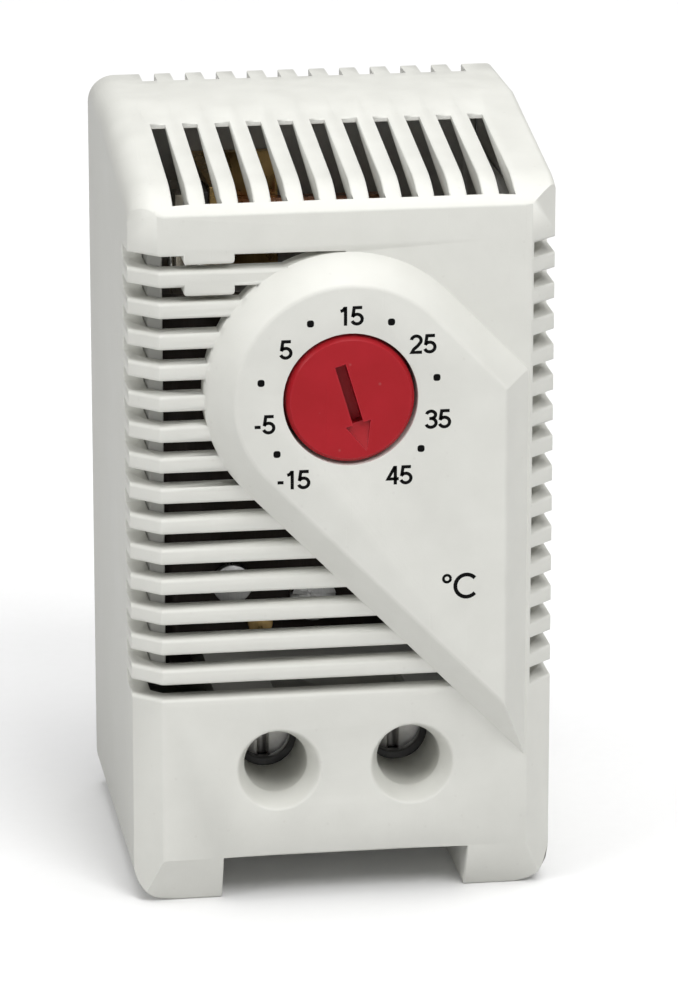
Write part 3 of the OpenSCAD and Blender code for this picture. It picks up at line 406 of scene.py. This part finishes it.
bimetal = platedMetal("bimetalRolled", (0.58, 0.54, 0.46), (0.45, 0.41, 0.33), (0.7, 0.68, 0.6))
ferrite = mouldedPlastic("ferriteBlock", (0.06, 0.058, 0.056), (0.04, 0.04, 0.04), (0.13, 0.13, 0.12),
                         rough=(0.5, 0.7), pit=0.08, depth=0.01)
print("materials ready")


# front cover

coverLook = {"edge": 0.30, "flat": 0.01, "plateFace": -2.5, "flankCut": -0.4, "dialHole": 5.6, "footRadius": 10.943,
             "louvreTop": 52.38, "louvrePitch": 2.44, "louvreHeight": 1.15, "louvres": 15, "louvredFrom": 16.5,
             "louvredTo": 53.2, "frontInside": 1.8, "wallInside": 15, "wallOutside": 16.4, "bevelFrom": 13.9,
             "roofFrom": 54.6, "roofSide": 14.2, "brow": (55.49, 55.57), "rearEdge": 29.9, "ventPitch": 2.505,
             "vents": 11, "ventEnd": (15.3, 57.705), "ventThin": 1.1}


def edgeSpot(edge):
    return spotOf((edge.verts[0].co + edge.verts[1].co) / 2)


# share of the full bevel by region; the outside of the roof is told from its inside by a line between them,
# steep over the brow and then with the roof's slope
def coverShare(edge):
    look = coverLook
    across, depth, height = edgeSpot(edge)
    upright = abs((edge.verts[1].co - edge.verts[0].co).normalized().z) > 0.7
    level = abs(edge.verts[1].co.z - edge.verts[0].co.z) < 0.02 * mm
    louvred = look["louvredFrom"] < height < look["louvredTo"]
    if depth < look["plateFace"] + 0.05:  # the dial's hole, and the plate's own outline
        return 0.12 if math.hypot(across, height - dialHeight) < look["dialHole"] else 0.8
    if depth < -0.03:  # on the plate's flank
        return 0.3 if across > 10 else 0
    if depth > look["rearEdge"]:  # rear rim, rounder on the fingers between the roof's notches
        return 0.9 if upright and abs(across) < 13.3 and height > 56 else 0.35
    if height > look["roofFrom"] and abs(across) > look["roofSide"]:  # ends of the roof
        return 0 if across > 0 else -1 if depth < 3 else 0.3
    if louvred and (abs(abs(across) - look["wallInside"]) < 0.06 or abs(depth - look["frontInside"]) < 0.06):
        return 0
    if across > look["bevelFrom"] and depth < 2.3:  # right bevel, with its louvres
        if louvred and level and depth > 0.3:
            return 0.8
        return 0.22 if depth < 0.3 or upright else 0.5
    if depth < 1.7 and louvred:  # front bars; the upright ends are round on the left and at the bridges
        return 1.0 if level else 0.35 if upright and (across < -12 or 48.5 < height < 53 and across < -8) else 0
    if depth < 18 and height > 54.9:  # roof and its slots
        return 0.45 if height > min(55.3 + 0.45 * depth, 57.0 + 0.16 * (depth - 4)) else 0
    if height < 16 and abs(abs(across) - screwSpot["across"]) < 3.4 and depth < 2.2:  # screw funnels
        return 0.6 if depth < 1 else 0
    if depth < 2.4 and louvred:
        return 0.2
    if height < 3.05 and abs(across) > 14.5 and depth < 2.1:  # foot corners, where the bottom's facets are narrow
        return 0
    return 0.6 if height < 4 or depth < 2.4 else 0.3


def coverSlices():
    look = coverLook
    bars = [look["louvreTop"] - (i + 0.5) * look["louvrePitch"] - look["louvreHeight"] / 2
            for i in range(-1, look["louvres"])]
    ribs = [(i - look["vents"] / 2) * look["ventPitch"] for i in range(look["vents"] + 1)]

    def barFace(across, depth, height, normal):
        return abs(depth) < 0.05 or abs(depth - look["frontInside"]) < 0.05 or (abs(across) > 14 and depth < 8)

    def roofFace(across, depth, height, normal):
        return height > 54 and abs(normal.z) > 0.3

    def flank(across, depth, height, normal):
        return -2.4 < depth < -0.1 and abs(normal.y) > 0.2

    def side(across, depth, height, normal):
        return abs(across) > look["wallOutside"]

    def holeFace(across, depth, height, normal):
        return abs(depth) < 0.05 and height < 17.5

    slices = [(2, z, barFace) for z in bars]
    slices += [(0, x, holeFace) for x in (-screwSpot["across"], screwSpot["across"])]
    slices += [(0, x, roofFace) for x in ribs]
    return slices + [(1, depth + frontY / mm, wanted)
                     for depth, wanted in ((look["flankCut"], flank), (7.0, side), (26.0, roofFace))]


# every loose vertex goes to the nearest kept one within reach
def weldInto(solid, loose, kept, reach):
    pairs = {}
    for vertex in loose:
        nearest = min(kept, key=lambda other: (other.co - vertex.co).length_squared)
        if (nearest.co - vertex.co).length < reach * mm:
            pairs[vertex] = nearest
    bmesh.ops.weld_verts(solid, targetmap=pairs)


def cutAcross(solid, faces, origin, normal):
    parts = list({part for face in faces for part in (*face.edges, *face.verts)})
    bmesh.ops.bisect_plane(solid, geom=faces + parts, dist=2e-6, plane_co=origin, plane_no=normal)


# the front slots end right on the plate's foot line: the line is cut at every slot edge and welded to the slots'
# corners; the brow's hair-thin first strip is closed, the plate face goes back so that the print can lie on it,
# and the roof thins towards the rear end of its slots, so that little of their end wall shows
def settleCover(solid):
    look = coverLook
    flank = [face for face in solid.faces
             if face.calc_center_median().y < frontY - 0.05 * mm and 0.2 < -face.normal.y < 0.98]
    cutAcross(solid, flank, (0, frontY + look["flankCut"] * mm, 0), (0, 1, 0))
    cuts = [look["louvreTop"] - i * look["louvrePitch"] - down for i in range(look["louvres"])
            for down in (0, look["louvreHeight"])]
    for height in cuts:
        low = [face for face in solid.faces if -0.45 < (face.calc_center_median().y - frontY) / mm < 0.05]
        cutAcross(solid, low, (0, 0, height * mm), (0, 0, 1))
    bmesh.ops.remove_doubles(solid, verts=solid.verts, dist=mergeReach)
    foot = [vertex for vertex in solid.verts if abs(vertex.co.y - frontY) < 0.003 * mm and vertex.co.x < 0.3 * mm and
            abs(math.hypot(vertex.co.x, vertex.co.z - dialHeight * mm) - look["footRadius"] * mm) < 0.015 * mm]
    corners = [vertex for vertex in foot if min(abs(vertex.co.z / mm - height) for height in cuts) < 0.004]
    held = set(corners)
    weldInto(solid, [vertex for vertex in foot if vertex not in held], corners, 0.45)
    low, high = look["brow"]
    brow = [vertex for vertex in solid.verts if low < vertex.co.z / mm < high and vertex.co.y < frontY + 0.07 * mm]
    front = [vertex for vertex in brow if vertex.co.y < frontY + 0.003 * mm]
    weldInto(solid, [vertex for vertex in brow if vertex.co.y >= frontY + 0.003 * mm], front, 0.08)
    endDepth, endHeight = look["ventEnd"]
    for vertex in solid.verts:
        if vertex.co.y < frontY + (look["plateFace"] + 0.001) * mm:
            vertex.co.y += look["flat"] * mm
        if abs(vertex.co.y - frontY - endDepth * mm) < 0.01 * mm and abs(vertex.co.z - endHeight * mm) < 0.01 * mm:
            vertex.co.z += look["ventThin"] * mm


softCopy("front_cover", "housing", "case_plastic", [casePlastic], width=coverLook["edge"], segments=3,
         sharpest=17, weigh=coverShare, cut=settleCover, slices=coverSlices())

# rear base

baseLook = {"edge": 0.2, "innerShare": 0.35, "wellFloor": 8.6, "hoodEnd": 12, "hoodSide": (9.85, 10),
            "pegReach": 1.3, "pegEnd": (32.7, 33), "pegEase": 0.03}


def wellFace(across, depth, height, normal):
    return abs(depth - baseLook["wellFloor"]) < 0.05


def atPegEnd(across, depth):
    return abs(across) < baseLook["pegReach"] and baseLook["pegEnd"][0] < depth < baseLook["pegEnd"][1]


def baseShare(edge):
    across, depth, height = edgeSpot(edge)
    nearest, farthest = baseLook["hoodSide"]
    if nearest < abs(across) < farthest or abs(depth - baseLook["hoodEnd"]) < 0.05 or atPegEnd(across, depth):
        return 0
    return baseLook["innerShare"] if abs(across) < 12.5 and depth < 27.5 else 1


# the spring's peg ends a hair before the floor of the latch's pocket, so that the latch slides past it
def easePeg(solid):
    for vertex in solid.verts:
        across, depth, height = spotOf(vertex.co)
        if atPegEnd(across, depth):
            vertex.co.y -= baseLook["pegEase"] * mm


softCopy("rear_base", "housing", "base_plastic", [basePlastic], width=baseLook["edge"], weigh=baseShare, cut=easePeg,
         slices=[(0, -screwSpot["across"], wellFace), (0, screwSpot["across"], wellFace)])


# setting dial

dialLook = {"edge": 0.10, "slotReach": 4.7, "rimShare": 1.0, "hubShare": 0.6}


# the slot and the arrow inside the rim stay crisp
def dialShare(edge):
    across, depth, height = edgeSpot(edge)
    if math.hypot(across, height - dialHeight) < dialLook["slotReach"]:
        return 0
    return dialLook["rimShare"] if depth < -1.9 else dialLook["hubShare"]


softCopy("setting_dial", "dial", "dial_plastic", [dialPlastic], width=dialLook["edge"], segments=3, weigh=dialShare)


# smaller parts that keep their CAD form

smallParts = {  # node: body, material slot, finish, bevel width
    "mechanism_frame": ("housing", "steel", blackSteel, 0.10),
    "frame_screws": ("housing", "steel", zincSteel, 0.08),
    "spindle_bush": ("housing", "brass", brass, 0.08),
    "lever_pin": ("housing", "steel", zincSteel, 0.06),
    "lever_clip": ("housing", "spring_steel", springSteel, 0.05),
    "fixed_contact_arm": ("housing", "brass", brass, 0.05),
    "fixed_contact": ("housing", "silver", silver, 0.08),
    "snap_magnet": ("housing", "magnet_ferrite", ferrite, 0.08),
    "contact_arm_rivets": ("housing", "brass", brass, 0.08),
    "busbar_left": ("housing", "copper", copper, 0.06),
    "busbar_right": ("housing", "copper", copper, 0.06),
    "busbar_rivet": ("housing", "brass", brass, 0.08),
    "dial_spindle": ("dial", "steel", zincSteel, 0.08),
    "friction_washer": ("dial", "washer_rubber", washerFibre, 0.06),
    "setting_cam": ("dial", "cam_plastic", camPlastic, 0.08),
    "spindle_clip": ("dial", "spring_steel", springSteel, 0.05),
    "setting_lever": ("lever", "steel", zincSteel, 0.08),
    "bimetal_strip": ("strip", "bimetal", bimetal, 0.05),
    "strip_rivets": ("strip", "brass", brass, 0.06),
    "moving_contact": ("strip", "silver", silver, 0.08),
    "armature": ("strip", "steel", zincSteel, 0.05),
    "clamp_cage_left": ("cage_left", "steel", zincSteel, 0.10),
    "clamp_cage_right": ("cage_right", "steel", zincSteel, 0.10),
    "rail_latch": ("latch", "latch_plastic", latchPlastic, 0.15),
}
pocketLook = {"reach": 1.9, "floor": (32.5, 33.1)}


# the latch's spring pocket runs past the spring's peg with little room and stays crisp
def latchShare(edge):
    across, depth, height = edgeSpot(edge)
    return 0 if abs(across) < pocketLook["reach"] and pocketLook["floor"][0] < depth < pocketLook["floor"][1] else 1


for node, (body, slotName, material, width) in smallParts.items():
    piece = softCopy(node, body, slotName, [material], width=width, weigh=latchShare if node == "rail_latch" else None)
    piece.modifiers["edges"].use_clamp_overlap = True


# terminal screws: CAD head, threaded shank

screwLook = {"edge": 0.12, "headEnd": 11.4, "tip": 19.0, "tipLength": 0.45, "tipSlope": 1.1, "radius": 1.5,
             "pitch": 0.5, "threadDepth": 0.30, "columns": 36, "rowsPerTurn": 10}


# radius = core + thread depth times a rounded triangle of (depth / pitch - angle / full turn), drawn in at the tip
def threadSheet(across):
    look = screwLook
    rows = int((look["tip"] - look["headEnd"]) / look["pitch"] * look["rowsPerTurn"]) + 1
    depth = np.linspace(look["headEnd"] - 0.05, look["tip"], rows)[:, None]
    angle = np.linspace(0, 2 * math.pi, look["columns"], endpoint=False)[None, :]
    phase = (depth / look["pitch"] - angle / (2 * math.pi)) % 1
    ridge = np.clip(1.35 * (1 - np.abs(2 * phase - 1)) - 0.12, 0, 1)
    core = look["radius"] - look["threadDepth"]
    radius = core + look["threadDepth"] * ridge
    drawnIn = np.clip(depth - (look["tip"] - look["tipLength"]), 0, 1) * look["tipSlope"]
    radius = np.minimum(radius, look["radius"] - drawnIn)
    points = np.stack([across + radius * np.sin(angle), depth + 0 * angle,
                       screwSpot["height"] + radius * np.cos(angle)], -1) * mm
    points[..., 1] += frontY
    return gridMesh("thread", points, capEnd=True)


# the CAD screw keeps its head; the smooth shank gives way to the thread
def dropShank(solid):
    limit = frontY + (screwLook["headEnd"] + 0.2) * mm
    bmesh.ops.bisect_plane(solid, geom=solid.verts[:] + solid.edges[:] + solid.faces[:], dist=1e-7,
                           plane_co=(0, limit, 0), plane_no=(0, 1, 0), clear_outer=True)


for side, across in (("left", -screwSpot["across"]), ("right", screwSpot["across"])):
    head = softCopy("terminal_screw_" + side, "screw_" + side, "screw_steel", [screwSteel], width=screwLook["edge"],
                    segments=3, cut=dropShank)
    head.modifiers["edges"].use_clamp_overlap = True
    linkPiece("terminal_thread_" + side, threadSheet(across), "screw_" + side, "screw_steel", screwSteel)


# latch spring

springLook = {"across": 0.0, "depth": 31.9, "low": 10.5, "high": 20.1, "radius": 0.82, "wire": 0.18, "turns": 8.0,
              "columns": 14, "perTurn": 28}


# a ring of wire radius is carried round a helix whose climb is flat for the first and last turn and even between
def springSheet():
    look = springLook
    steps = int(look["turns"] * look["perTurn"]) + 1
    turn = np.linspace(0, look["turns"], steps)
    climb = np.interp(turn, [0, 1.0, look["turns"] - 1.0, look["turns"]],
                      [look["wire"], 3.1 * look["wire"], look["high"] - look["low"] - 3.1 * look["wire"],
                       look["high"] - look["low"] - look["wire"]])
    angle = turn * 2 * math.pi
    centre = np.stack([look["radius"] * np.cos(angle), look["radius"] * np.sin(angle), climb], -1)
    tangent = np.gradient(centre, axis=0)
    tangent /= np.linalg.norm(tangent, axis=1, keepdims=True)
    outward = np.stack([np.cos(angle), np.sin(angle), 0 * angle], -1)
    upward = np.cross(tangent, outward)
    round_ = np.linspace(0, 2 * math.pi, look["columns"], endpoint=False)
    ring = (np.cos(round_)[None, :, None] * outward[:, None, :] + np.sin(round_)[None, :, None] * upward[:, None, :])
    points = (centre[:, None, :] + look["wire"] * ring + np.array([look["across"], look["depth"], look["low"]])) * mm
    points[..., 1] += frontY
    return gridMesh("latchSpring", points, capStart=True, capEnd=True)


latchSpring = linkPiece("latch_spring_wound", springSheet(), "housing", "spring_steel", springSteel)
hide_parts("latch_spring")
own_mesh(latchSpring)
print("screws and spring wound")


# printed scale

printLook = {"height": 1.53, "pen": 0.172, "ink": 0.006, "dot": 0.275, "numbers": [
    ("15", 0.08, 47.93), ("25", 5.53, 45.52), ("35", 6.72, 39.55), ("45", 3.72, 35.22),
    ("-15", -4.38, 35.18), ("-5", -6.59, 39.64), ("5", -4.97, 45.47)],
    "unit": ("°C", 8.44, 26.1, 2.1, 0.145),
    "dots": [(-3.09, 47.43), (3.11, 47.34), (6.62, 42.84), (5.42, 37.26), (-6.88, 42.92), (-5.68, 37.26)]}


def printInk():
    material, tree, shader = startMaterial("scaleInk")
    spot = place(tree, "ShaderNodeTexCoord").outputs["Object"]
    cover = place(tree, "ShaderNodeTexNoise", in_Scale=9000.0, in_Detail=3.0)
    tree.links.new(spot, cover.inputs["Vector"])
    tree.links.new(blendColour(tree, rangeNode(tree, cover.outputs["Fac"], 0.35, 0.75), (0.002, 0.002, 0.002, 1),
                               (0.006, 0.006, 0.006, 1)), shader.inputs["Base Color"])
    tree.links.new(rangeNode(tree, cover.outputs["Fac"], 0.3, 0.7, 0.55, 0.75), shader.inputs["Roughness"])
    shader.inputs["Specular IOR Level"].default_value = 0.08
    bump = place(tree, "ShaderNodeBump", in_Strength=0.6, in_Distance=0.002 * mm)
    tree.links.new(cover.outputs["Fac"], bump.inputs["Height"])
    tree.links.new(bump.outputs[0], shader.inputs["Normal"])
    return material


# pen strokes of the figures, one unit tall, as (advance, strokes) with points (x, y)
# or arcs (x, y, reach across, reach up, from, to in degrees)
figureStrokes = {
    "1": (0.63, [[(0.34, 0.0), (0.34, 1.0)], [(0.08, 0.765), (0.19, 0.795), (0.27, 0.865), (0.31, 0.955)]]),
    "2": (0.71, [[(0.31, 0.70, 0.25, 0.23, 172, -32), (0.38, 0.40), (0.19, 0.245), (0.085, 0.07), (0.61, 0.07)]]),
    "3": (0.71, [[(0.31, 0.735, 0.235, 0.195, 168, -82)], [(0.31, 0.305, 0.265, 0.235, 88, -162)],
                 [(0.22, 0.54), (0.34, 0.54)]]),
    "4": (0.71, [[(0.44, 0.95), (0.08, 0.305), (0.645, 0.305)], [(0.465, 0.0), (0.465, 1.0)]]),
    "5": (0.71, [[(0.57, 0.93), (0.155, 0.93), (0.085, 0.44)], [(0.30, 0.325, 0.27, 0.255, 152, -160)]]),
    "-": (0.45, [[(0.03, 0.38), (0.34, 0.38)]]),
    "°": (0.40, [[(0.17, 0.80, 0.135, 0.135, 0, 360)]]),
    "C": (0.92, [[(0.50, 0.50, 0.42, 0.43, 42, 318)]])}


def strokeCentre(parts):
    pieces = []
    for part in parts:
        if len(part) == 2:
            pieces.append(np.array([part]))
            continue
        x, y, across, up, start, end = part
        angle = np.linspace(start, end, 20) * degree
        pieces.append(np.stack([x + across * np.cos(angle), y + up * np.sin(angle)], -1))
    return np.vstack(pieces)


# ribbon: every point of the centre line goes half the pen's width to both sides, along the mitre of the steps
# that meet there
def penRibbon(centre, half):
    step = np.diff(centre, axis=0)
    step /= np.linalg.norm(step, axis=1, keepdims=True)
    side = np.stack([-step[:, 1], step[:, 0]], -1)
    before, after = np.vstack([side[:1], side]), np.vstack([side, side[-1:]])
    mitre = before + after
    mitre /= np.linalg.norm(mitre, axis=1, keepdims=True)
    reach = mitre * half / np.clip((mitre * after).sum(1, keepdims=True), 0.55, 1)
    return np.vstack([centre + reach, centre - reach])


# a word as ribbons, centred on its own box and scaled to the height asked; the degree ring has a finer pen
def wordRibbons(text, height, pen):
    ribbons, along = [], 0.0
    for letter in text:
        advance, strokes = figureStrokes[letter]
        half = pen * (0.35 if letter == "°" else 0.5)
        ribbons += [penRibbon(strokeCentre(parts), half) + (along, 0) for parts in strokes]
        along += advance
    every = np.vstack(ribbons)
    low, high = every.min(0), every.max(0)
    return [(ribbon - (low + high) / 2) * height / (high[1] - low[1]) for ribbon in ribbons]


# squared dot: points on |x|^3 + |z|^3 = r^3
def dotOutline(radius, count=24):
    angle = np.linspace(0, 2 * math.pi, count, endpoint=False)
    reach = radius / (np.abs(np.cos(angle)) ** 3 + np.abs(np.sin(angle)) ** 3) ** (1 / 3)
    return np.stack([reach * np.cos(angle), reach * np.sin(angle)], -1)


def layPrint():
    solid = bmesh.new()
    front = frontY + (coverLook["plateFace"] + coverLook["flat"] - printLook["ink"]) * mm

    def add(outline, faces, x, z):
        made = [solid.verts.new(((x + p[0]) * mm, front, (z + p[1]) * mm)) for p in outline]
        for face in faces:
            solid.faces.new([made[i] for i in face])

    unit = printLook["unit"]
    words = [(text, x, z, printLook["height"], printLook["pen"]) for text, x, z in printLook["numbers"]] + [unit]
    for text, x, z, height, pen in words:
        for ribbon in wordRibbons(text, height, pen):
            half = len(ribbon) // 2
            i = np.arange(half - 1)
            add(ribbon, np.stack([i, i + 1, i + 1 + half, i + half], -1).tolist(), x, z)
    for x, z in printLook["dots"]:
        outline = dotOutline(printLook["dot"])
        add(outline, [tuple(range(len(outline)))], x, z)
    bmesh.ops.recalc_face_normals(solid, faces=solid.faces)
    for face in solid.faces:
        if face.normal.y > 0:
            face.normal_flip()
    mesh = bpy.data.meshes.new("scalePrint")
    solid.to_mesh(mesh)
    solid.free()
    piece = linkPiece("scale_print", mesh, "housing", "case_plastic", printInk())
    ink = piece.modifiers.new("ink", "SOLIDIFY")
    ink.thickness = 2 * printLook["ink"] * mm
    ink.offset = -1
    return piece


scalePrint = layPrint()
print("scale printed", triangleCount(scalePrint), "triangles")


# floor, light and camera

studio = {"lensPixels": 5382.28, "azimuth": 8.478, "elevation": 16.848, "away": 0.41374,
          "target": (-0.000541, -0.018, 0.03267), "world": 0.10}


# the photographed object stands on a white that throws little light back, so the floor bounces less than it shows
def floorMaterial():
    material, tree, shader = startMaterial("paleFloor")
    spot = place(tree, "ShaderNodeTexCoord").outputs["Object"]
    paper = place(tree, "ShaderNodeTexNoise", in_Scale=900.0, in_Detail=4.0)
    tree.links.new(spot, paper.inputs["Vector"])
    seen = blendColour(tree, paper.outputs["Fac"], (0.93, 0.93, 0.93, 1), (0.96, 0.96, 0.96, 1))
    bounced = blendColour(tree, paper.outputs["Fac"], (0.60, 0.60, 0.60, 1), (0.63, 0.63, 0.63, 1))
    direct = place(tree, "ShaderNodeLightPath").outputs["Is Camera Ray"]
    tree.links.new(blendColour(tree, direct, bounced, seen), shader.inputs["Base Color"])
    bump = place(tree, "ShaderNodeBump", in_Strength=0.3, in_Distance=0.02 * mm)
    tree.links.new(paper.outputs["Fac"], bump.inputs["Height"])
    tree.links.new(bump.outputs[0], shader.inputs["Normal"])
    shader.inputs["Roughness"].default_value = 0.8
    return material


floorMesh = bpy.data.meshes.new("floor")
floorMesh.from_pydata([(-3, -3, 0), (3, -3, 0), (3, 3, 0), (-3, 3, 0)], [], [(0, 1, 2, 3)])
floorMesh.materials.append(floorMaterial())
floor = bpy.data.objects.new("floor", floorMesh)
scene.collection.objects.link(floor)


def softLight(name, spot, size, watts, aim=(0, -0.018, 0.03)):
    light = bpy.data.lights.new(name, "AREA")
    light.size, light.energy = size, watts
    holder = bpy.data.objects.new(name, light)
    scene.collection.objects.link(holder)
    holder.location = spot
    holder.rotation_euler = (Vector(spot) - Vector(aim)).to_track_quat("Z", "Y").to_euler()


softLight("overhead", (0.1, 0.1, 2.0), 1.8, 33.0)
softLight("highFront", (0.6, -1.5, 1.8), 1.0, 22.5)
softLight("lowFront", (-0.2, -1.9, 0.3), 0.6, 4.0)
softLight("leftSide", (-1.7, -0.9, 1.3), 1.0, 14.5)
softLight("rightSide", (1.9, -0.9, 1.1), 0.8, 5.0)
world = bpy.data.worlds.new("studio")
scene.world = world
world.use_nodes = True
world.node_tree.nodes["Background"].inputs[0].default_value = (1, 1, 1, 1)
world.node_tree.nodes["Background"].inputs[1].default_value = studio["world"]

lens = bpy.data.cameras.new("camera")
lens.sensor_width = 36
lens.lens = studio["lensPixels"] * lens.sensor_width / 1000
lens.clip_start = 0.01
camera = bpy.data.objects.new("camera", lens)
scene.collection.objects.link(camera)
azimuth, elevation = studio["azimuth"] * degree, studio["elevation"] * degree
back = Vector((-math.sin(azimuth) * math.cos(elevation), -math.cos(azimuth) * math.cos(elevation),
               math.sin(elevation)))
camera.location = Vector(studio["target"]) + back * studio["away"]
camera.rotation_euler = back.to_track_quat("Z", "Y").to_euler()
scene.camera = camera
